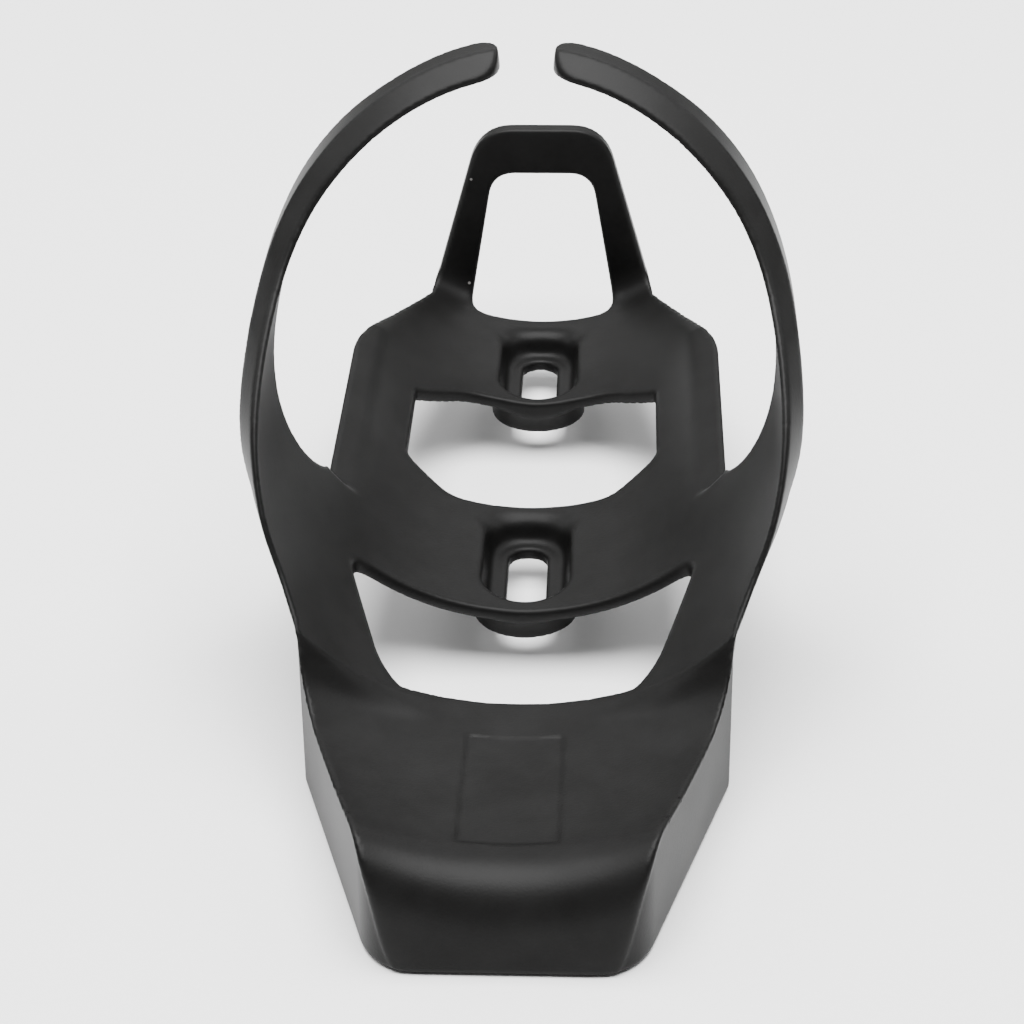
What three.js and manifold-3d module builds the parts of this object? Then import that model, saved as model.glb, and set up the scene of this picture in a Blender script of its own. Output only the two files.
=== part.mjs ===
// Bicycle water bottle cage, millimetres.
// +Z points from the frame tube to the bottle, +Y along the bottle to its base, X is the mirror direction.
// The cage is one plastic moulding. Each node is one working region of that moulding.

import * as THREE from 'three'
import { mergeVertices } from 'three/addons/utils/BufferGeometryUtils.js'
import Module from 'manifold-3d'

const wasm = await Module()
wasm.setup()

// ---- Driving dimensions --------------------------------------------------------------------------

const BOLT_SPACING = 64
const BOTTLE_RADIUS = 36.5
const TROUGH_HEIGHT = 10 // lowest line of the trough above the lowest edge of the shroud
const WALL = 2
const ARM_WALL = 3.3
const GAP = 0.3 // between neighbouring nodes

const POCKET = { width: 13.2, length: 24.4, depth: 4, farCorner: 4 }
const SLOT = { width: 6, length: 18.2 }
const BOSS = { wall: 1.4, depth: 6, farCorner: 5 } // the depth is measured from the trough's lowest line

const OPENING_HALF = 20 // half width of the upper opening
const RAIL_OUTER = 26 // the trough meets the side lips here
const LIP_OUTER = 30.3
const LIP_RISE = 2
const BRIDGE_FAR_EDGE = 81.4
const CREASE = { centre: -40, corner: -45, halfWidth: 29.4 }

const LOOP = { near: 85.6, thickness: 3.2, top: 35, bottomHalf: 19.3, topHalf: 11 }
const LOOP_HOLE = { bottomHalf: 12.7, topHalf: 8.7, top: 26.6 }

const HINGE_ANGLE = 62 // degrees round the bottle from the trough's lowest line
const TIP_ANGLE = 174
const TIP_ROUNDING = 6 // degrees
const BEVEL = { start: 66, full: 90, width: 3.7, edge: 0.8 } // angles in degrees, sizes in millimetres

const SHROUD_NEAR_HALF = 17.1 // half width at the nose
const SHROUD_SPREAD = 0.312 // growth of that half width, per millimetre towards the crease
const NOSE_FRONT = -85.6
const NOSE_LEAN = 12 // degrees
const NOSE_BEND = 8 // blend between the panel and the nose
const LENGTH_CENTRE = (NOSE_FRONT + LOOP.near + LOOP.thickness) / 2

// Edges of wings and arms: angle round the bottle in degrees, then place along the bottle.
const NEAR_EDGE = curve([[46, -50], [52, -44.5], [60, -38.5], [75, -32], [90, -23], [100, -14], [110, -4.5],
  [120, 0.4], [135, 4.7], [150, 8.5], [162, 11.2], [TIP_ANGLE, 13]])
const FAR_EDGE = curve([[50, 3], [54, 0.8], [60, -2.2], [70, -4.2], [85, -3.5], [95, -0.5], [103, 4.5],
  [112, 9], [122, 13], [135, 15.8], [150, 17.5], [162, 19.8], [TIP_ANGLE, 21.5]])

// Shroud's top surface: place along the bottle, then height on the centre line and, as a share of the
// trough's own hollow, how hollow it is.
const SHROUD_HEIGHT = curve([[-92, 3.5], [-86, 3.2], [-78, 2.7], [-70, 2.1], [-60, 1.3], [-50, 0.5], [-45, 0.15],
  [-36, 0]])
const SHROUD_HOLLOW = curve([[-92, 1], [-86, 1], [-78, 0.84], [-73, 0.64], [-68, 0.52], [-63, 0.46], [-57, 0.42],
  [-53, 0.44], [-49.5, 0.52], [-46.5, 0.68], [-44, 0.95], [-36, 1]])

// ---- Shape helpers -------------------------------------------------------------------------------

function curve(points) {
  const places = points.map(([place]) => place)
  const values = points.map(([, value]) => value)
  const interpolant = new THREE.CubicInterpolant(places, values, 1)
  return (place) => interpolant.evaluate(place)[0]
}

function onTrough(angle, along, radius) {
  const turn = THREE.MathUtils.degToRad(angle)
  const axisHeight = TROUGH_HEIGHT + BOTTLE_RADIUS
  return new THREE.Vector3(radius * Math.sin(turn), along, axisHeight - radius * Math.cos(turn))
}

function toSolid(geometry) {
  const bare = geometry.clone()
  bare.deleteAttribute('normal')
  bare.deleteAttribute('uv')
  const merged = mergeVertices(bare, 1e-4)
  return new wasm.Manifold(new wasm.Mesh({
    numProp: 3,
    vertProperties: new Float32Array(merged.attributes.position.array),
    triVerts: new Uint32Array(merged.index.array),
  }))
}

function toGeometry(solid) {
  const mesh = solid.getMesh()
  const geometry = new THREE.BufferGeometry()
  geometry.setAttribute('position', new THREE.BufferAttribute(new Float32Array(mesh.vertProperties), 3))
  geometry.setIndex(new THREE.BufferAttribute(new Uint32Array(mesh.triVerts), 1))
  geometry.computeVertexNormals()
  return geometry
}

function movePoints(geometry, place) {
  const position = geometry.attributes.position
  for (let i = 0; i < position.count; i++) {
    const point = place(position.getX(i), position.getY(i), position.getZ(i))
    position.setXYZ(i, point.x, point.y, point.z)
  }
  return geometry
}

// A box bent by a formula: across, along and through all run from 0 to 1.
function bentSheet(acrossSteps, alongSteps, place) {
  const box = new THREE.BoxGeometry(1, 1, 1, acrossSteps, alongSteps, 1).translate(0.5, 0.5, 0.5)
  return toSolid(movePoints(box, place))
}

function mirrored(geometry) {
  const copy = geometry.clone().scale(-1, 1, 1)
  const index = copy.index.array
  for (let i = 0; i < index.length; i += 3) {
    const first = index[i]
    index[i] = index[i + 2]
    index[i + 2] = first
  }
  copy.computeVertexNormals()
  return copy
}

// Corners are [x, y, rounding]; the rounding is the length cut from each side of the corner.
function outline(corners) {
  const shape = new THREE.Shape()
  const points = corners.map(([x, y]) => new THREE.Vector2(x, y))
  points.forEach((corner, i) => {
    const rounding = corners[i][2] ?? 0
    const previous = points[(i + points.length - 1) % points.length]
    const next = points[(i + 1) % points.length]
    const start = previous.clone().sub(corner).setLength(rounding).add(corner)
    const end = next.clone().sub(corner).setLength(rounding).add(corner)
    if (i === 0) shape.moveTo(start.x, start.y)
    else shape.lineTo(start.x, start.y)
    if (rounding > 0) shape.quadraticCurveTo(corner.x, corner.y, end.x, end.y)
  })
  shape.closePath()
  return shape
}

function symmetric(rightCorners) {
  const leftCorners = rightCorners.map(([x, y, rounding]) => [-x, y, rounding]).reverse()
  return outline([...rightCorners, ...leftCorners])
}

// Upright prism over a plan outline.
function prism(shape, bottom, top) {
  const options = { depth: top - bottom, bevelEnabled: false, curveSegments: 6 }
  return toSolid(new THREE.ExtrudeGeometry(shape, options).translate(0, 0, bottom))
}

function column(shape) {
  return prism(shape, -20, 120)
}

function boxBetween(x0, x1, y0, y1) {
  return column(outline([[x0, y0], [x1, y0], [x1, y1], [x0, y1]]))
}

// Oblong with a round near end and a far end with rounded corners.
function oblong(width, length, farCorner, middle) {
  const half = width / 2
  const near = middle - length / 2
  const far = middle + length / 2
  const shape = new THREE.Shape()
  shape.moveTo(half, near + half)
  shape.lineTo(half, far - farCorner)
  shape.quadraticCurveTo(half, far, half - farCorner, far)
  shape.lineTo(farCorner - half, far)
  shape.quadraticCurveTo(-half, far, -half, far - farCorner)
  shape.lineTo(-half, near + half)
  shape.absarc(0, near + half, half, Math.PI, 2 * Math.PI)
  return shape
}

// ---- Trough --------------------------------------------------------------------------------------

const troughSheet = bentSheet(34, 24, (across, along, through) => {
  const angle = THREE.MathUtils.lerp(-HINGE_ANGLE - 6, HINGE_ANGLE + 6, across)
  return onTrough(angle, THREE.MathUtils.lerp(-52, 90, along), BOTTLE_RADIUS + WALL * (1 - through))
})

const bottleSpace = bentSheet(72, 1, (across, along, through) => {
  const angle = THREE.MathUtils.lerp(-120, 120, across)
  return onTrough(angle, THREE.MathUtils.lerp(-60, 120, along), THREE.MathUtils.lerp(BOTTLE_RADIUS, 12, through))
})

const upperOpening = column(symmetric([[12.6, 15.4, 1.5], [OPENING_HALF, 22.3, 1], [OPENING_HALF, 43.4, 1],
  [12, 50.4, 2]]))

const lowerOpening = column(symmetric([[15.5, CREASE.centre - 1.3, 2], [19.2, -37.4, 1.5], [25.8, -15.1, 5]]))

function creaseZone(offset) {
  const corners = []
  for (let step = -8; step <= 8; step++) {
    const x = (step / 8) * 34
    const bow = (CREASE.corner - CREASE.centre) * (x / CREASE.halfWidth) ** 2
    corners.push([x, CREASE.centre + bow + offset])
  }
  return column(outline([...corners, [34, -120], [-34, -120]]))
}

function bossSeat(middle, clearance) {
  const width = POCKET.width + 2 * BOSS.wall + 2 * clearance
  const length = POCKET.length + 2 * BOSS.wall + 2 * clearance
  return oblong(width, length, BOSS.farCorner, middle)
}

function bridge(plan, boltPlace) {
  return troughSheet
    .intersect(column(plan))
    .subtract(upperOpening)
    .subtract(lowerOpening)
    .subtract(column(bossSeat(boltPlace, GAP)))
}

function upperBridge() {
  const half = OPENING_HALF + GAP / 2
  return bridge(outline([[-half, -15.5], [half, -15.5], [half, 22.3], [-half, 22.3]]), 0)
}

function lowerBridge() {
  const near = 43 + GAP / 2
  const plan = symmetric([[RAIL_OUTER - GAP, near], [RAIL_OUTER - GAP, 56, 4], [19.2, LOOP.near - GAP],
    [12.8, LOOP.near - GAP, 0], [11, BRIDGE_FAR_EDGE + 0.6, 2], [6, BRIDGE_FAR_EDGE]])
  return bridge(plan, BOLT_SPACING)
}

function rail() {
  return troughSheet.intersect(boxBetween(OPENING_HALF, RAIL_OUTER - GAP, 22.3 + GAP / 2, 43 - GAP / 2))
}

function lip() {
  const plan = outline([[RAIL_OUTER, 1.2], [LIP_OUTER, 1], [LIP_OUTER, 49.7, 3], [20.9, 78.6], [20.6, 79.4],
    [RAIL_OUTER, 56.2, 4]])
  const sheet = bentSheet(3, 16, (across, along, through) => {
    const x = THREE.MathUtils.lerp(18, LIP_OUTER + 1, across)
    const y = THREE.MathUtils.lerp(0, 86, along)
    const start = THREE.MathUtils.clamp(RAIL_OUTER - Math.max(0, y - 56) * 0.24, 19, RAIL_OUTER)
    const turn = Math.asin(start / BOTTLE_RADIUS)
    const rise = (x - start) * LIP_RISE / (LIP_OUTER - RAIL_OUTER)
    const height = TROUGH_HEIGHT + BOTTLE_RADIUS * (1 - Math.cos(turn)) + rise
    return { x, y, z: height - WALL * (1 - through) }
  })
  return sheet.intersect(column(plan))
}

// ---- Wings and arms ------------------------------------------------------------------------------

function wingRoot() {
  const plan = outline([[14, -60], [40, -60], [40, 1 - GAP], [RAIL_OUTER - GAP, 1 - GAP],
    [RAIL_OUTER - GAP, 22.3 - GAP / 2], [OPENING_HALF + GAP, 22.3 - GAP / 2], [OPENING_HALF + GAP, -15.6],
    [14, -15.6]])
  const gapAngle = THREE.MathUtils.radToDeg(GAP / BOTTLE_RADIUS)
  return bentSheet(16, 20, (across, along, through) => {
    const angle = THREE.MathUtils.lerp(20, HINGE_ANGLE - gapAngle, across)
    const far = angle < 52 ? 22.3 : FAR_EDGE(angle)
    const y = THREE.MathUtils.lerp(angle < 50 ? -50 : NEAR_EDGE(angle), far, along)
    return onTrough(angle, y, BOTTLE_RADIUS + WALL * (1 - through))
  })
    .intersect(column(plan))
    .subtract(lowerOpening)
    .subtract(creaseZone(GAP / 2))
}

// The near side of an arm is bevelled: the outer face starts a bevel's width in from the near edge.
function arm() {
  return bentSheet(40, 3, (across, along, through) => {
    const angle = THREE.MathUtils.lerp(HINGE_ANGLE, TIP_ANGLE, across)
    const grown = THREE.MathUtils.smoothstep(angle, BEVEL.start, BEVEL.full)
    const wall = THREE.MathUtils.lerp(WALL, ARM_WALL, grown)
    const middle = (NEAR_EDGE(angle) + FAR_EDGE(angle)) / 2
    const toTip = Math.max(0, angle - TIP_ANGLE + TIP_ROUNDING) / TIP_ROUNDING
    const half = (FAR_EDGE(angle) - NEAR_EDGE(angle)) / 2 * (1 - 0.45 * (1 - Math.sqrt(1 - 0.98 * toTip ** 2)))
    const ridge = grown * BEVEL.width / (2 * half)
    const share = [0, THREE.MathUtils.clamp(ridge, 0.05, 0.55), 0.75, 1][Math.round(along * 3)]
    const edge = THREE.MathUtils.lerp(wall, BEVEL.edge, grown)
    const outer = share === 0 ? edge : wall
    return onTrough(angle, middle - half + 2 * half * share, BOTTLE_RADIUS + outer * (1 - through))
  })
}

// ---- Bosses --------------------------------------------------------------------------------------

function boss(boltPlace) {
  const back = TROUGH_HEIGHT - BOSS.depth
  const floor = TROUGH_HEIGHT - POCKET.depth
  const slot = new THREE.Shape()
  const straight = (SLOT.length - SLOT.width) / 2
  slot.absarc(0, boltPlace + straight, SLOT.width / 2, 0, Math.PI)
  slot.absarc(0, boltPlace - straight, SLOT.width / 2, Math.PI, 2 * Math.PI)
  return prism(bossSeat(boltPlace, 0), back, TROUGH_HEIGHT + 4)
    .subtract(prism(oblong(POCKET.width, POCKET.length, POCKET.farCorner, boltPlace), floor, TROUGH_HEIGHT + 10))
    .subtract(prism(slot, back - 1, floor + 1))
    .subtract(bottleSpace)
}

// ---- Foot ----------------------------------------------------------------------------------------

function footLoop() {
  const base = TROUGH_HEIGHT + 2.4
  const top = TROUGH_HEIGHT + LOOP.top
  const shape = symmetric([[LOOP_HOLE.bottomHalf, base + 3], [LOOP_HOLE.bottomHalf, base],
    [LOOP.bottomHalf, base + 2.6, 0.5], [LOOP.topHalf, top, 4]])
  const loopHole = symmetric([[LOOP_HOLE.bottomHalf, base - 2], [LOOP_HOLE.topHalf, TROUGH_HEIGHT + LOOP_HOLE.top, 2.5]])
  return upright(shape, LOOP.near, LOOP.thickness).subtract(upright(loopHole, LOOP.near - 1, LOOP.thickness + 2))
}

// Prism whose outline is drawn in X and Z and that runs along Y from its near face.
function upright(shape, near, thickness) {
  const options = { depth: thickness, bevelEnabled: false, curveSegments: 6 }
  const geometry = new THREE.ExtrudeGeometry(shape, options)
  return toSolid(geometry.rotateX(Math.PI / 2).translate(0, near + thickness, 0))
}

// ---- Shroud --------------------------------------------------------------------------------------

function footprint(inset, rear) {
  const half = (y) => SHROUD_NEAR_HALF + (y - NOSE_FRONT) * SHROUD_SPREAD - inset
  const front = NOSE_FRONT + inset
  return column(symmetric([[half(front), front, 6], [half(rear), rear]]))
}

// Depth of a point below the top of the panel and the nose. Height is measured from the trough's lowest line.
function depthBelowTop(x, y, height) {
  const sag = BOTTLE_RADIUS - Math.sqrt(BOTTLE_RADIUS ** 2 - Math.min(Math.abs(x), 34) ** 2)
  const hollow = SHROUD_HOLLOW(y)
  const slopeAlong = (SHROUD_HEIGHT(y + 0.1) - SHROUD_HEIGHT(y - 0.1)) / 0.2
  const slopeAcross = hollow * x / (BOTTLE_RADIUS - Math.min(sag, 22))
  const panel = (SHROUD_HEIGHT(y) + hollow * sag - height) / Math.hypot(1, slopeAlong, slopeAcross)
  const lean = THREE.MathUtils.degToRad(NOSE_LEAN)
  const nose = (y - NOSE_FRONT) * Math.cos(lean) - (height + TROUGH_HEIGHT) * Math.sin(lean)
  const blend = Math.max(NOSE_BEND - Math.abs(panel - nose), 0) / NOSE_BEND
  return Math.min(panel, nose) - blend * blend * NOSE_BEND / 4
}

// Height at which a point lies a wall's thickness below the top, by halving the interval it is in.
function heightBelowTop(x, y, wall) {
  let low = -40
  let high = 30
  while (high - low > 1e-4) {
    const middle = (low + high) / 2
    if (depthBelowTop(x, y, middle) > wall) low = middle
    else high = middle
  }
  return low
}

function belowTop(wall) {
  return bentSheet(18, 36, (across, along, through) => {
    const x = THREE.MathUtils.lerp(-33, 33, across)
    const y = THREE.MathUtils.lerp(-88, -38, along)
    const height = TROUGH_HEIGHT + heightBelowTop(x, y, wall)
    return { x, y, z: THREE.MathUtils.lerp(-50, height, through) }
  })
}

function shroud() {
  const lowest = boxBetween(-40, 40, -100, -41).translate(0, 0, 20)
  const outside = footprint(0, -39).intersect(belowTop(0))
  const inside = footprint(WALL, -30).intersect(belowTop(WALL))
  return outside.subtract(inside).intersect(creaseZone(-GAP / 2)).intersect(lowest)
}

const WALL_LINE = [[32, -36], [27, -45], [22.3, -60], [18.2, -73], [10.6, -79], [10.6, -90]]

function shroudPanel() {
  return shroud().intersect(column(symmetric([...WALL_LINE].reverse())))
}

function shroudWall() {
  const line = WALL_LINE.map(([x, y]) => [x + GAP, y])
  return shroud().intersect(column(outline([...line, [60, -90], [60, -36]])))
}

// ---- Assembly ------------------------------------------------------------------------------------

function plastic() {
  return new THREE.MeshStandardMaterial({ color: 0x232325, roughness: 0.62, metalness: 0 })
}

function addNode(name, geometry) {
  const mesh = new THREE.Mesh(geometry, plastic())
  mesh.name = name
  group.add(mesh)
}

function addPair(name, solid) {
  const right = toGeometry(solid)
  addNode(`right_${name}`, right)
  addNode(`left_${name}`, mirrored(right))
}

const group = new THREE.Group()
group.position.y = -LENGTH_CENTRE

addNode('upper_bridge', toGeometry(upperBridge()))
addNode('lower_bridge', toGeometry(lowerBridge()))
addNode('upper_boss', toGeometry(boss(0)))
addNode('lower_boss', toGeometry(boss(BOLT_SPACING)))
addNode('foot_loop', toGeometry(footLoop()))
addNode('shroud_panel', toGeometry(shroudPanel()))
addPair('shroud_wall', shroudWall())
addPair('rail', rail())
addPair('lip', lip())
addPair('wing_root', wingRoot())
addPair('arm', arm())

export default group
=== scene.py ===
"""Bicycle water bottle cage: one black plastic moulding whose two sprung arms hold the bottle."""
import math

import bmesh
import bpy
import numpy as np
from mathutils import Matrix, Vector


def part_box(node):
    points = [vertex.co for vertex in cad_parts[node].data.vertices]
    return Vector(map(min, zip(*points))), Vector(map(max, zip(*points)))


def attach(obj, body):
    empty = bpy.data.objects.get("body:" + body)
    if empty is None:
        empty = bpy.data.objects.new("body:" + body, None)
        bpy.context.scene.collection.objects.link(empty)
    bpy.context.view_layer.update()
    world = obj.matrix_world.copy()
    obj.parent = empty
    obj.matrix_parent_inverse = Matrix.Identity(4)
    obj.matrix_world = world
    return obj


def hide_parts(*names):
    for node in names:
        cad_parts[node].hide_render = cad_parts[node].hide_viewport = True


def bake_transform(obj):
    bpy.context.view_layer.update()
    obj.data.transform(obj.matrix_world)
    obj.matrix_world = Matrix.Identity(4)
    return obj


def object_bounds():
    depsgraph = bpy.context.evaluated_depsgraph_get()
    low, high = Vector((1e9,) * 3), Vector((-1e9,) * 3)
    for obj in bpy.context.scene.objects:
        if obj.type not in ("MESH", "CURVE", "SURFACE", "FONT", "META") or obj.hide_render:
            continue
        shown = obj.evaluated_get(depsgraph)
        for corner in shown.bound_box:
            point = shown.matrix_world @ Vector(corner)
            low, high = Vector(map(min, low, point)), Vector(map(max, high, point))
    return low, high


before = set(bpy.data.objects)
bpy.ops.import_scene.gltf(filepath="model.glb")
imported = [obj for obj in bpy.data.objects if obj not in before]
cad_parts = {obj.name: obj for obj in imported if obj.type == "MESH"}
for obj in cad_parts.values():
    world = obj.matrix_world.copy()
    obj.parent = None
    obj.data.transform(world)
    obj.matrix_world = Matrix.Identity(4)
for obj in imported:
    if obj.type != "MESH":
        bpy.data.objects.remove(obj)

cad_box = [list(corner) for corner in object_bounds()]

MM = 0.001

# ---- Driving dimensions, millimetres ---------------------------------------------------------------
# x is across the bottle, y runs along it from the upper bolt, z is measured from the trough's lowest line.

RADIUS = 36.5  # of the bottle
WALL = 2.0
ARM_WALL = 3.3
WING_START = 47.0  # angles round the bottle, in degrees, from here to TIP_ANGLE
THICKENS = (60.0, 86.0)  # where a wing's wall grows to an arm's
BEVEL_APPEARS = (48.0, 54.0)  # where the near edge of a wing starts to taper
BEVEL_GROWS = (70.0, 94.0)  # where its taper grows from WING_BEVEL to ARM_BEVEL
TIP_ANGLE = 174.0
WING_BEVEL = {"edge": 0.7, "slope": 0.3}
ARM_BEVEL = {"edge": 0.8, "slope": 0.68}
BEVEL_SINKS = 1.5  # how far behind the edge the taper starts out

BOSS_DEPTH = 6.0
BOSS_WALL = 1.4
POCKET = {"half": 6.6, "length": 24.4, "depth": 4.0, "draft": 0.22, "soft_from": 6.0, "soft_rim": 2.4}
SLOT = {"half": 3.0, "straight": 12.2}
LIP = {"start": 26.0, "outer": 30.3, "slope": 0.476, "near": 1.2, "fade": 0.9}
LIP_WIDENS = {"from": 56.0, "slope": 0.24}  # its inner edge moves inwards towards the foot
TRAY_TOP = 20.0  # nothing of the tray itself is higher
TRAY_FADE = 1.2  # how far above its own skin the tray's outline ends

LOOP = {"near": 85.6, "thickness": 3.2, "top": 34.9, "bend": 5.0, "half": 20.75, "lean": 0.28, "corner": 6.0}
LOOP_HOLE = {"near": 81.4, "top": 26.6, "half": 13.1, "lean": 0.165, "corner": 4.0}

CREASE = {"centre": -40.0, "drop": 5.0, "corner": 29.4, "half_width": 0.55}
SHROUD_BOTTOM = -10.0
SHROUD_REAR = -45.0
SHROUD_DRAFT = 0.004
SHROUD_RIM = {"step": 0.16, "start": 0.4, "end": 0.9}  # a fine step along its top edge
NEAR_BOTTLE_SIDE = 40.0  # keeps the panel's formula finite past the bottle's sides
STEEPEST_RISE = 22.0
NOSE = {"front": -85.6, "lean": 12.0, "bend": 8.0, "corner": 6.5}
LABEL = {"half": 6.7, "near": -74.0, "far": -47.6, "depth": 0.3, "edge": 0.3}

EDGE = 0.6  # smoothing of moulded outside edges
TIP_CORNER = 4.0
WING_FILLET = 0.8
LEG_FILLET = 1.6
BOSS_FILLET = 3.0
HOLLOW_FILLET = 2.0

ARM_CUT = 16.0  # height at which an arm becomes its own piece
BEHIND_ARMS = 40.0  # place along the bottle past which nothing belongs to an arm

upper_low, upper_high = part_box("upper_boss")
lower_low, lower_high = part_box("lower_boss")
BOLT_PLACE = (upper_low.y + upper_high.y) / 2 / MM
BOLT_SPACING = (lower_low.y + lower_high.y) / 2 / MM - BOLT_PLACE
TROUGH_HEIGHT = upper_low.z / MM + BOSS_DEPTH


def to_frame(x, y, z):
    """A place on the cage, in metres in the frame."""
    return Vector((x * MM, (y + BOLT_PLACE) * MM, (z + TROUGH_HEIGHT) * MM))


# ---- Curves ----------------------------------------------------------------------------------------

def curve(*points):
    """A smooth curve through (place, value) points, as functions for its value and its slope."""
    places, values = np.array(points, float).T
    slopes = np.gradient(values, places)
    dense = np.linspace(places[0], places[-1], 600)
    i = np.clip(np.searchsorted(places, dense, side="right") - 1, 0, len(places) - 2)
    span = places[i + 1] - places[i]
    t = (dense - places[i]) / span
    smooth = ((1 + 2 * t) * (1 - t) ** 2 * values[i] + t * (1 - t) ** 2 * span * slopes[i]
              + t * t * (3 - 2 * t) * values[i + 1] + t * t * (t - 1) * span * slopes[i + 1])
    steepness = np.gradient(smooth, dense)
    return lambda place: np.interp(place, dense, smooth), lambda place: np.interp(place, dense, steepness)


# Edges of wings and arms: angle round the bottle in degrees, then place along the bottle.
near_edge, near_slope = curve((40, -64), (46, -51.0), (52, -45.6), (56, -42.0), (60, -38.7), (75, -32),
                              (90, -23), (100, -14), (110, -4.5), (120, 0.4), (135, 4.7), (150, 8.4),
                              (162, 10.9), (TIP_ANGLE, 12.6))
far_edge, far_slope = curve((50, 3), (54, 0.8), (60, -2.2), (70, -4.2), (85, -3.5), (95, -0.5), (103, 4.5),
                            (112, 9), (122, 13), (135, 15.8), (150, 17.5), (162, 19.6), (TIP_ANGLE, 21.2))

# The shroud's top: place along the bottle, then height on the centre line and how fully it is troughed.
shroud_height, shroud_fall = curve((-92, 3.5), (-86, 3.2), (-78, 2.7), (-70, 2.1), (-60, 1.3), (-50, 0.5),
                                   (-45, 0.15), (-38, 0))
shroud_trough, _ = curve((-92, 1.0), (-86, 1.0), (-78, 0.84), (-73, 0.64), (-68, 0.52), (-63, 0.46),
                         (-57, 0.42), (-53, 0.44), (-49.5, 0.52), (-46.5, 0.68), (-44, 0.95), (-38, 1.0))


# ---- Signed-distance shapes ------------------------------------------------------------------------
# Every shape is a function that is negative inside the material and positive outside it.

def join(a, b, smoothing):
    """Both shapes, with a fillet between them."""
    return -cut(-a, -b, smoothing)


def cut(a, b, smoothing):
    """What the shapes have in common, with a rounded edge where they cross."""
    near = np.maximum(smoothing - np.abs(a - b), 0) / smoothing
    return np.maximum(a, b) + near * near * smoothing / 4


def common(first, *others, smoothing=EDGE):
    """What several shapes have in common."""
    for other in others:
        first = cut(first, other, smoothing)
    return first


def ramp(value, start, end):
    """Rises smoothly from 0 at start to 1 at end."""
    t = np.clip((value - start) / (end - start), 0, 1)
    return t * t * (3 - 2 * t)


def side_of(x, y, start, end):
    """Distance to the right of the line from start to end, in plan."""
    dx, dy = end[0] - start[0], end[1] - start[1]
    return ((x - start[0]) * dy - (y - start[1]) * dx) / math.hypot(dx, dy)


def oblong(x, y, half, near, far):
    """Round at its near end, with rounded corners at its far end."""
    centre = near + half
    straight = cut(x - half, y - far, half)
    return np.where(y < centre, np.hypot(x, y - centre) - half, straight)


def crease_line(x):
    """Place along the bottle where the trough ends and the shroud starts."""
    return CREASE["centre"] - CREASE["drop"] * (x / CREASE["corner"]) ** 2


def shroud_top_depth(x, y, z):
    """Depth below the shroud's top surface: a panel, then a rounded bend to the leaning front."""
    arc = RADIUS - np.sqrt(np.maximum(RADIUS ** 2 - x * x, NEAR_BOTTLE_SIDE))
    trough = shroud_trough(y)
    slope_across = trough * x / (RADIUS - np.minimum(arc, STEEPEST_RISE))
    panel = (shroud_height(y) + trough * arc - z) / np.sqrt(1 + shroud_fall(y) ** 2 + slope_across ** 2)
    lean = math.radians(NOSE["lean"])
    front = (y - NOSE["front"]) * math.cos(lean) - (z - SHROUD_BOTTOM) * math.sin(lean)
    return join(panel, front, NOSE["bend"])


def lip_depth(x, y, z):
    """Depth below the flat side lip."""
    start = LIP["start"] - LIP_WIDENS["slope"] * np.maximum(y - LIP_WIDENS["from"], 0)
    base = RADIUS - np.sqrt(RADIUS ** 2 - start ** 2)
    return (base + (x - start) * LIP["slope"] - z) / math.hypot(1, LIP["slope"])


def top_depth(x, y, z, reach):
    """Depth below the surface that faces the bottle: trough, side lips and shroud as one skin."""
    trough = reach - RADIUS
    lip = np.where(x > LIP["start"] * 0.55, join(trough, lip_depth(x, y, z), 0.5), trough)
    lipped = ramp(y, LIP["near"] - LIP["fade"], LIP["near"] + LIP["fade"]) * (z < TRAY_TOP)
    trough = trough + (lip - trough) * lipped
    crease = crease_line(x)
    rear = ramp(y, crease - CREASE["half_width"], crease + CREASE["half_width"])
    return rear * trough + (1 - rear) * shroud_top_depth(x, y, z)


def wing_outline(y, angle):
    """Outline of wings and arms on the unrolled bottle, and the distance past their near edge."""
    per_degree = RADIUS * math.radians(1)
    near = (near_edge(angle) - y) / np.hypot(1, near_slope(angle) / per_degree)
    far = (y - far_edge(angle)) / np.hypot(1, far_slope(angle) / per_degree)
    tip = (angle - TIP_ANGLE) * per_degree
    outline = cut(cut(far, tip, TIP_CORNER), near, TIP_CORNER)
    return cut(outline, (WING_START - angle) * per_degree, 0.5), near


def tray_outline(x, y):
    """Outline of the trough with its lips, in plan."""
    slanted = side_of(x, y, (30.2, 50.0), (19.2, 83.65))
    return cut(x - LIP["outer"], slanted, 1.6)


def upper_opening(x, y):
    """The opening between the two bosses, in plan."""
    sides = common(x - 20, 15.4 - y, side_of(x, y, (12.6, 15.4), (20, 22.3)), smoothing=1.6)
    far = cut(y - 50.4, side_of(x, y, (20, 43.4), (12, 50.4)), 2.0)
    return cut(sides, far, 0.6)


def lower_opening(x, y):
    """The opening between the upper boss and the shroud, in plan."""
    near = -40.9 - 0.5 * (x / 15.7) ** 2 - y
    sides = cut(side_of(x, y, (15.0, -41.8), (19.2, -37.4)), side_of(x, y, (19.2, -37.4), (25.2, -17.2)), 2.0)
    return cut(cut(near, sides, 2.5), y + 15.1, 4.5)


def leaning_sides(x, z, shape):
    """From the front, a trapezium with rounded top corners."""
    side = (x - (shape["half"] - shape["lean"] * z)) / math.hypot(1, shape["lean"])
    return cut(side, z - shape["top"], shape["corner"])


def loop_hole(x, y, z):
    """The hole in the foot loop, which runs on into the trough."""
    return cut(leaning_sides(x, z, LOOP_HOLE), LOOP_HOLE["near"] - y, LOOP_HOLE["corner"])


def footprint(x, y, z):
    """The shroud's side walls and front in plan, leaning inwards towards the top."""
    leaning = x + SHROUD_DRAFT * (z - SHROUD_BOTTOM)
    return cut(side_of(leaning, y, (18.2, -82.0), (29.75, SHROUD_REAR)), NOSE["front"] - y, NOSE["corner"])


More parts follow.
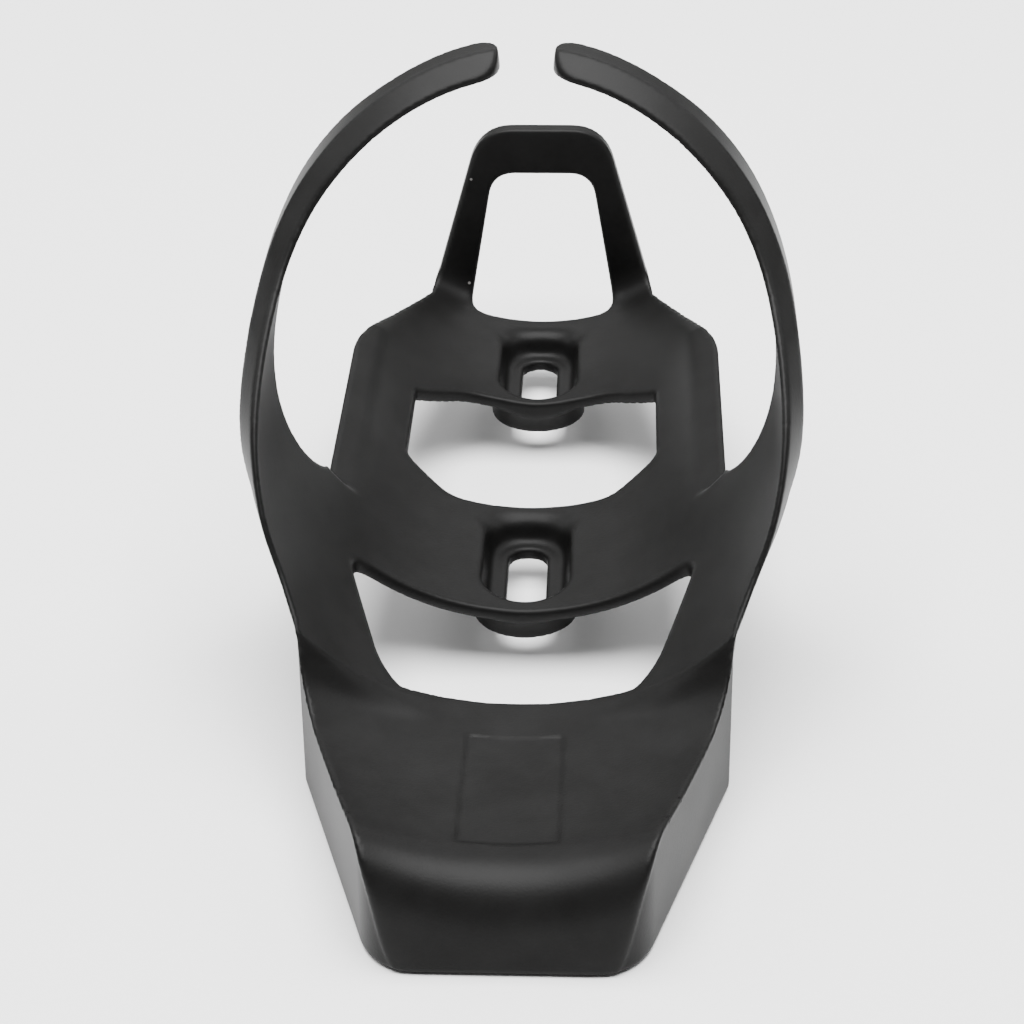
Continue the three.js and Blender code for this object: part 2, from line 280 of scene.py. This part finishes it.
def plate_outline(x, y, z, angle, depth):
    """Outline of the whole skin, less its holes, and the distance past the near edge of a wing."""
    wing, past_edge = wing_outline(y, angle)
    tray = np.maximum(cut(tray_outline(x, y), -depth - TRAY_FADE, 0.5), z - TRAY_TOP)
    leg = cut(leaning_sides(x, z, LOOP), LOOP["near"] - 2.5 - y, 0.5)
    plate = join(join(tray, wing, WING_FILLET), leg, LEG_FILLET)

    # It ends just past the crease, and stays within the shroud's footprint as far as the shroud reaches.
    plate = np.maximum(plate, crease_line(x) - 3 - y)
    plate = np.maximum(plate, footprint(x, y, z) - 3 * np.maximum(y - SHROUD_REAR, 0))
    openings = np.maximum(np.minimum(upper_opening(x, y), lower_opening(x, y)), z - TRAY_TOP)
    return cut(plate, -np.minimum(openings, loop_hole(x, y, z)), EDGE), past_edge


def wing_bevel(angle, depth, past_edge):
    """The back of wings and arms, which tapers to a thin near edge."""
    grown = ramp(angle, *BEVEL_GROWS)
    slope = WING_BEVEL["slope"] + (ARM_BEVEL["slope"] - WING_BEVEL["slope"]) * grown
    edge = WING_BEVEL["edge"] + (ARM_BEVEL["edge"] - WING_BEVEL["edge"]) * grown
    bevel = (depth - edge + past_edge * slope) / np.hypot(1, slope)
    sunk = BEVEL_SINKS * (1 - ramp(angle, *BEVEL_APPEARS))
    return np.where(angle > BEVEL_APPEARS[0], bevel - sunk, -9.0)


def shroud_shell(x, y, z, depth):
    """The shroud's skin, walls and front, hollow below."""
    rim = SHROUD_RIM["step"] * ramp(-depth, -SHROUD_RIM["end"], -SHROUD_RIM["start"])
    outside = footprint(x, y, z) - rim
    hollow = cut(outside + WALL, WALL - depth, HOLLOW_FILLET)
    rear = y - crease_line(x) - 1.2
    return common(outside, -hollow, SHROUD_BOTTOM - z, z - TRAY_TOP, rear, smoothing=0.7)


def boss_block(x, y, z, depth, bolt):
    """The oblong block below the skin at one bolt."""
    reach = POCKET["length"] / 2 + BOSS_WALL
    block = oblong(x, y, POCKET["half"] + BOSS_WALL, bolt - reach, bolt + reach)
    return common(block, -BOSS_DEPTH - z, -depth, z - TRAY_TOP)


def pocket_shape(x, y, z, bolt):
    """The pocket for one bolt's head, with drafted walls."""
    reach = POCKET["length"] / 2
    draft = POCKET["draft"] * np.clip(z, -POCKET["depth"], 2)
    walls = oblong(x, y, POCKET["half"], bolt - reach, bolt + reach) - draft
    return cut(walls, -POCKET["depth"] - z, 1.0)


def slot_shape(x, y, bolt):
    """The slot for one bolt's shank, with round ends."""
    past_straight = np.maximum(np.abs(y - bolt) - SLOT["straight"] / 2, 0)
    return np.hypot(x, past_straight) - SLOT["half"]


def cage(x, y, z):
    """The whole moulding."""
    x = np.abs(x)
    reach = np.hypot(x, RADIUS - z)
    angle = np.degrees(np.arctan2(x, RADIUS - z))
    depth = top_depth(x, y, z, reach)
    wall = WALL + (ARM_WALL - WALL) * ramp(angle, *THICKENS)

    # One skin that turns up into the foot loop.
    up_loop = y - LOOP["near"]
    face = join(-depth, -up_loop, LOOP["bend"])
    back = cut(depth - wall, up_loop - LOOP["thickness"], LOOP["bend"] + 2)
    plate, past_edge = plate_outline(x, y, z, angle, depth)
    below = cut(np.maximum(back, wing_bevel(angle, depth, past_edge)), plate, EDGE)
    below = np.minimum(below, shroud_shell(x, y, z, depth))

    # Bolt bosses.
    pocket = np.full_like(depth, 99.0)
    slot = np.full_like(depth, 99.0)
    soft = np.zeros_like(depth)
    for bolt in (0, BOLT_SPACING):
        below = join(below, boss_block(x, y, z, depth, bolt), BOSS_FILLET)
        pocket = np.minimum(pocket, pocket_shape(x, y, z, bolt))
        slot = np.minimum(slot, slot_shape(x, y, bolt))
        at_bolt = np.abs(y - bolt) < POCKET["length"]
        soft = np.maximum(soft, ramp(y, bolt + POCKET["soft_from"], bolt + POCKET["length"] / 2) * at_bolt)

    solid = cut(face, below, EDGE)
    solid = cut(solid, -np.maximum(pocket, z - TRAY_TOP), EDGE + POCKET["soft_rim"] * soft)
    solid = cut(solid, -np.maximum(slot, z - TRAY_TOP), 0.4)

    label = common(x - LABEL["half"], LABEL["near"] - y, y - LABEL["far"], depth - LABEL["depth"],
                   smoothing=LABEL["edge"])
    return cut(solid, -label, LABEL["edge"])


# ---- From the field to a mesh ----------------------------------------------------------------------

STEP = 0.54  # side of a grid cell, millimetres
BLOCK = 6  # cells along each side of a block
OUTSIDE = 9.0
JUST_INSIDE = 0.001
MARGIN = 1.5  # round the CAD box
CHUNK = 500_000  # grid points worked out at a time
SMOOTHING_PASSES = 3
SETTLING_PASSES = 2
FLATTEST_SLOPE = 0.2  # squared: flatter places don't move points further


def sample(low, high, step):
    """The field on a regular grid, and the grid's axes. Blocks without surface keep a plain outside value."""
    blocks = np.ceil((high - low) / (step * BLOCK)).astype(int)
    counts = blocks * BLOCK + 1
    axes = [low[i] + step * np.arange(counts[i]) for i in range(3)]
    middles = [low[i] + step * BLOCK * (np.arange(blocks[i]) + 0.5) for i in range(3)]
    centre = np.meshgrid(*middles, indexing="ij")
    half_diagonal = step * BLOCK * math.sqrt(3) / 2
    wanted = np.abs(cage(*centre)) < half_diagonal * 1.35 + 1.0
    for axis in range(3):
        wanted = wanted.repeat(BLOCK, axis)
    for axis in range(3):
        before = np.insert(wanted, 0, False, axis)
        after = np.concatenate([wanted, np.zeros_like(wanted.take([0], axis))], axis)
        wanted = before | after
    values = np.full(counts, OUTSIDE, np.float32)
    i, j, k = np.nonzero(wanted)
    for start in range(0, len(i), CHUNK):
        part = slice(start, start + CHUNK)
        values[i[part], j[part], k[part]] = cage(axes[0][i[part]], axes[1][j[part]], axes[2][k[part]])
    return values, axes


def fill_crossings(values):
    """Fills in one corner of each grid square whose inside corners touch only across its diagonal.

    No closed surface can follow such a square. Filling one may make another, so this is repeated.
    """
    found = True
    while found:
        found = False
        for axis in range(3):
            turned = np.moveaxis(values, axis, 2)
            inside = turned < 0
            first = inside[:-1, :-1]
            second = inside[1:, :-1]
            crossed = (first != second) & (first == inside[1:, 1:]) & (second == inside[:-1, 1:])
            i, j, k = np.nonzero(crossed)
            turned[i + first[i, j, k], j, k] = -JUST_INSIDE
            found = found or len(i) > 0


def surface_net(values, axes):
    """One vertex in each cell that the surface crosses, and one quad round each grid edge that it crosses."""
    inside = values < 0
    shape = np.array(values.shape) - 1
    corners = [(i, j, k) for i in (0, 1) for j in (0, 1) for k in (0, 1)]
    filled = np.zeros(shape, np.int8)
    for i, j, k in corners:
        filled += inside[i:i + shape[0], j:j + shape[1], k:k + shape[2]]
    cells = np.argwhere((filled > 0) & (filled < 8))
    number = np.full(shape, -1, np.int32)
    number[tuple(cells.T)] = np.arange(len(cells))
    total = np.zeros((len(cells), 3))
    crossings = np.zeros(len(cells))
    for a in corners:
        for axis in range(3):
            if a[axis]:
                continue
            b = list(a)
            b[axis] = 1
            value_a = values[tuple((cells + a).T)]
            value_b = values[tuple((cells + b).T)]
            crossed = (value_a < 0) != (value_b < 0)
            share = np.where(crossed, value_a / np.where(crossed, value_a - value_b, 1), 0)
            place = np.array(a, float) + share[:, None] * (np.array(b) - np.array(a))
            total += place * crossed[:, None]
            crossings += crossed
    step = np.array([axis[1] - axis[0] for axis in axes])
    vertices = np.array([axis[0] for axis in axes]) + (cells + total / crossings[:, None]) * step

    quads = []
    for axis in range(3):
        u, v = (axis + 1) % 3, (axis + 2) % 3
        low = inside.take(range(shape[axis]), axis)
        high = inside.take(range(1, shape[axis] + 1), axis)
        edges = np.argwhere(low != high)
        inner = (edges[:, u] > 0) & (edges[:, v] > 0) & (edges[:, u] < shape[u]) & (edges[:, v] < shape[v])
        edges = edges[inner]
        leaving = low[tuple(edges.T)]
        ring = []
        for du, dv in ((-1, -1), (0, -1), (0, 0), (-1, 0)):
            cell = edges.copy()
            cell[:, u] += du
            cell[:, v] += dv
            ring.append(number[tuple(cell.T)])
        ring = np.stack(ring, 1)
        ring[~leaving] = ring[~leaving][:, ::-1]
        quads.append(ring)
    return vertices, np.concatenate(quads)


def gradient(points, reach=0.04):
    """Slope of the field at each point."""
    slope = np.empty_like(points)
    for axis in range(3):
        shift = np.zeros(3)
        shift[axis] = reach
        slope[:, axis] = (cage(*(points + shift).T) - cage(*(points - shift).T)) / (2 * reach)
    return slope


def settle(points, limit):
    """Moves points along the field's slope onto the surface."""
    slope = gradient(points)
    size = np.maximum((slope ** 2).sum(1), FLATTEST_SLOPE)
    move = slope * (cage(*points.T) / size)[:, None]
    length = np.linalg.norm(move, axis=1, keepdims=True)
    return points - move * np.minimum(1, limit / np.maximum(length, 1e-9))


def relax(points, quads):
    """Moves each point to the mean of its neighbours' face centres."""
    centres = points[quads].mean(1)
    count = np.bincount(quads.ravel(), minlength=len(points))
    moved = [np.bincount(quads.ravel(), np.repeat(centres[:, axis], 4), len(points)) for axis in range(3)]
    return np.stack(moved, 1) / count[:, None]


def moulding_mesh():
    """The cage's surface, in millimetres from the upper bolt and the trough's lowest line."""
    offset = np.array([0, BOLT_PLACE, TROUGH_HEIGHT])
    low = np.array(cad_box[0]) / MM - offset - MARGIN
    high = np.array(cad_box[1]) / MM - offset + MARGIN

    # The grid is the same on both sides of the middle plane.
    half_count = math.ceil(-low[0] / STEP)
    low[0] = -half_count * STEP - STEP / 2
    high[0] = -low[0]
    values, axes = sample(low, high, STEP)
    fill_crossings(values)
    points, quads = surface_net(values, axes)
    for _ in range(SMOOTHING_PASSES):
        points = settle(relax(points, quads), STEP)
    for _ in range(SETTLING_PASSES):
        points = settle(points, STEP / 2)
    return points, quads


# ---- Materials -------------------------------------------------------------------------------------

class Nodes:
    """A short way to write a material's node tree."""

    def __init__(self, name):
        self.material = bpy.data.materials.new(name)
        self.material.use_nodes = True
        self.tree = self.material.node_tree
        self.shader = self.tree.nodes["Principled BSDF"]

    def add(self, kind, links=None, **settings):
        """A new node. Its settings are properties or, where it has none by that name, input values."""
        node = self.tree.nodes.new("ShaderNode" + kind)
        for key, value in settings.items():
            if hasattr(node, key):
                setattr(node, key, value)
            else:
                node.inputs[key.replace("_", " ").title()].default_value = value
        for socket, source in (links or {}).items():
            self.tree.links.new(source, node.inputs[socket])
        return node

    def link(self, source, socket):
        """Joins a source to the surface shader."""
        self.tree.links.new(source, self.shader.inputs[socket])


def black_nylon():
    """Matte moulded nylon: fine spark-eroded grain, faint flow mottling and a few pale specks."""
    n = Nodes("black_nylon")
    where = n.add("TexCoord").outputs["Object"]
    grain = n.add("TexNoise", {"Vector": where}, scale=2600.0, detail=3.0, roughness=0.6).outputs["Fac"]
    mottle = n.add("TexNoise", {"Vector": where}, scale=140.0, detail=5.0, roughness=0.62).outputs["Fac"]
    cloud = n.add("TexNoise", {"Vector": where}, scale=28.0, detail=2.0).outputs["Fac"]
    speck = n.add("TexVoronoi", {"Vector": where}, feature="F1", scale=95.0, randomness=1.0)
    speck_size = n.add("MapRange", {"Value": speck.outputs["Distance"]}, from_min=0.030, from_max=0.022)
    chosen = n.add("Math", {0: speck.outputs["Color"]}, operation="GREATER_THAN")
    chosen.inputs[1].default_value = 0.86
    dust = n.add("Math", {0: speck_size.outputs["Result"], 1: chosen.outputs[0]}, operation="MULTIPLY")

    tone = n.add("ValToRGB", {"Fac": mottle})
    tone.color_ramp.elements[0].position = 0.32
    tone.color_ramp.elements[0].color = (0.0042, 0.0041, 0.0040, 1)
    tone.color_ramp.elements[1].position = 0.70
    tone.color_ramp.elements[1].color = (0.0066, 0.0065, 0.0064, 1)
    speckled = n.add("Mix", {"Factor": dust.outputs[0], 6: tone.outputs["Color"]}, data_type="RGBA")
    speckled.inputs[7].default_value = (0.16, 0.155, 0.15, 1)
    n.link(speckled.outputs[2], "Base Color")

    rough = n.add("MapRange", {"Value": cloud}, from_min=0.3, from_max=0.7, to_min=0.40, to_max=0.48)
    n.link(rough.outputs["Result"], "Roughness")
    n.shader.inputs["Specular IOR Level"].default_value = 0.10

    fine = n.add("Bump", {"Height": grain}, strength=0.35, distance=0.00006)
    fine_normal = fine.outputs["Normal"]
    broad = n.add("Bump", {"Height": mottle, "Normal": fine_normal}, strength=0.25, distance=0.00008)
    n.link(broad.outputs["Normal"], "Normal")
    return n.material


def floor_paper():
    """Pale matte paper sweep."""
    n = Nodes("floor_paper")
    where = n.add("TexCoord").outputs["Object"]
    fibre = n.add("TexNoise", {"Vector": where}, scale=900.0, detail=3.0).outputs["Fac"]
    tone = n.add("ValToRGB", {"Fac": fibre})
    tone.color_ramp.elements[0].color = (0.90, 0.90, 0.90, 1)
    tone.color_ramp.elements[1].color = (0.93, 0.93, 0.93, 1)
    n.link(tone.outputs["Color"], "Base Color")
    n.shader.inputs["Roughness"].default_value = 0.9
    n.shader.inputs["Specular IOR Level"].default_value = 0.1
    return n.material


# ---- Pieces ----------------------------------------------------------------------------------------

def cut_arms(whole):
    """Cuts the moulding across both arms, and returns the centre and the two arms as closed meshes."""
    level = to_frame(0, 0, ARM_CUT).z
    reach = to_frame(0, BEHIND_ARMS, 0).y
    wanted = [f for f in whole.faces if f.calc_center_median().y < reach]
    ends = {e for f in wanted for e in f.edges}
    dots = {v for f in wanted for v in f.verts}
    bmesh.ops.bisect_plane(whole, geom=wanted + list(ends) + list(dots), dist=1e-8,
                           plane_co=(0, 0, level), plane_no=(0, 0, 1))

    def part_of(face):
        centre = face.calc_center_median()
        if centre.z < level or centre.y > reach:
            return 0
        return 1 if centre.x < 0 else 2

    pieces = []
    for part in range(3):
        piece = whole.copy()
        piece.faces.ensure_lookup_table()
        unwanted = [f for f in piece.faces if part_of(f) != part]
        bmesh.ops.delete(piece, geom=unwanted, context="FACES")
        rim = [e for e in piece.edges if e.is_boundary]
        for face in piece.faces:
            face.smooth = True
        cap = bmesh.ops.holes_fill(piece, edges=rim, sides=0)["faces"]
        for face in cap:
            face.smooth = False
        for edge in rim:
            edge.smooth = False
        bmesh.ops.triangulate(piece, faces=cap)
        pieces.append(piece)
    return pieces


def place_piece(name, shape, material):
    """Puts one closed mesh into the scene."""
    mesh = bpy.data.meshes.new(name)
    shape.to_mesh(mesh)
    shape.free()
    mesh.materials.append(material)
    piece = bpy.data.objects.new(name, mesh)
    bpy.context.scene.collection.objects.link(piece)
    return piece


def build_cage():
    """The moulding as its fixed centre and its two arms as separate pieces."""
    points, quads = moulding_mesh()
    points = (points + np.array([0, BOLT_PLACE, TROUGH_HEIGHT])) * MM
    mesh = bpy.data.meshes.new("whole")
    mesh.from_pydata(points.tolist(), [], quads.tolist())
    whole = bmesh.new()
    whole.from_mesh(mesh)
    bpy.data.meshes.remove(mesh)
    centre, left, right = cut_arms(whole)
    whole.free()
    nylon = black_nylon()

    cradle = place_piece("cage_moulding", centre, nylon)
    arms = ("left_arm", "right_arm")
    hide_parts(*[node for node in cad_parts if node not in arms])
    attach(cradle, "cradle")
    for node, shape in zip(arms, (left, right)):
        arm = place_piece(node + "_spring", shape, nylon)
        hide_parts(node)
        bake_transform(arm)


# ---- Stage, light and camera -----------------------------------------------------------------------

LIGHTS_AIM = (0, 0, 0.02)
VIEW = {"elevation": 30.7, "turn": 2.6, "roll": 0.75}  # degrees
VIEW_DISTANCE = 399.0
VIEW_CENTRE = {"aside": 1.9, "along": -6.35, "above": 10.3}  # millimetres on the cage


def floor():
    """A pale floor just below the cage."""
    shape = bmesh.new()
    bmesh.ops.create_grid(shape, x_segments=8, y_segments=8, size=3.0)
    mesh = bpy.data.meshes.new("floor")
    shape.to_mesh(mesh)
    shape.free()
    mesh.materials.append(floor_paper())
    piece = bpy.data.objects.new("floor", mesh)
    piece.location.z = cad_box[0][2] - 0.0002
    bpy.context.scene.collection.objects.link(piece)


def softbox(name, place, size, power):
    """A white rectangular light that faces the cage."""
    light = bpy.data.lights.new(name, "AREA")
    light.shape = "RECTANGLE"
    light.size, light.size_y = size
    light.energy = power
    lamp = bpy.data.objects.new(name, light)
    lamp.location = place
    lamp.rotation_mode = "QUATERNION"
    lamp.rotation_quaternion = (Vector(LIGHTS_AIM) - Vector(place)).to_track_quat("-Z", "Y")
    bpy.context.scene.collection.objects.link(lamp)


def lights():
    """Even white surroundings and four softboxes."""
    world = bpy.data.worlds.new("studio")
    world.use_nodes = True
    background = world.node_tree.nodes["Background"]
    background.inputs["Color"].default_value = (1, 1, 1, 1)
    background.inputs["Strength"].default_value = 0.20
    bpy.context.scene.world = world
    softbox("left_softbox", (-0.9, 0.3, 0.8), (0.9, 0.7), 6.0)
    softbox("right_softbox", (0.9, 0.3, 0.8), (0.9, 0.7), 5.0)
    softbox("overhead", (0, -0.05, 1.1), (1.0, 1.0), 48.0)
    softbox("rear_softbox", (0, 1.2, 0.85), (2.2, 0.6), 10.0)


def camera():
    """Long lens, low in front of the cage: the photograph's viewing angle."""
    elevation, turn, roll = (math.radians(VIEW[name]) for name in ("elevation", "turn", "roll"))
    right = Vector((math.cos(turn), math.sin(turn), 0))
    level = Vector((-math.sin(turn), math.cos(turn), 0))
    up = level * math.sin(elevation) + Vector((0, 0, math.cos(elevation)))
    ahead = level * math.cos(elevation) - Vector((0, 0, math.sin(elevation)))
    place = VIEW_CENTRE["above"] * up - VIEW_CENTRE["aside"] * right - VIEW_DISTANCE * ahead
    side = right * math.cos(roll) - up * math.sin(roll)
    rise = right * math.sin(roll) + up * math.cos(roll)
    data = bpy.data.cameras.new("camera")
    data.sensor_width = 36.0
    data.lens = 92.57
    data.clip_start, data.clip_end = 0.01, 20
    cam = bpy.data.objects.new("camera", data)
    bpy.context.scene.collection.objects.link(cam)
    turned = Matrix((side, rise, -ahead)).transposed().to_4x4()
    cam.matrix_world = Matrix.Translation(to_frame(place.x, place.y + VIEW_CENTRE["along"], place.z)) @ turned
    bpy.context.scene.camera = cam


camera()
build_cage()
floor()
lights()
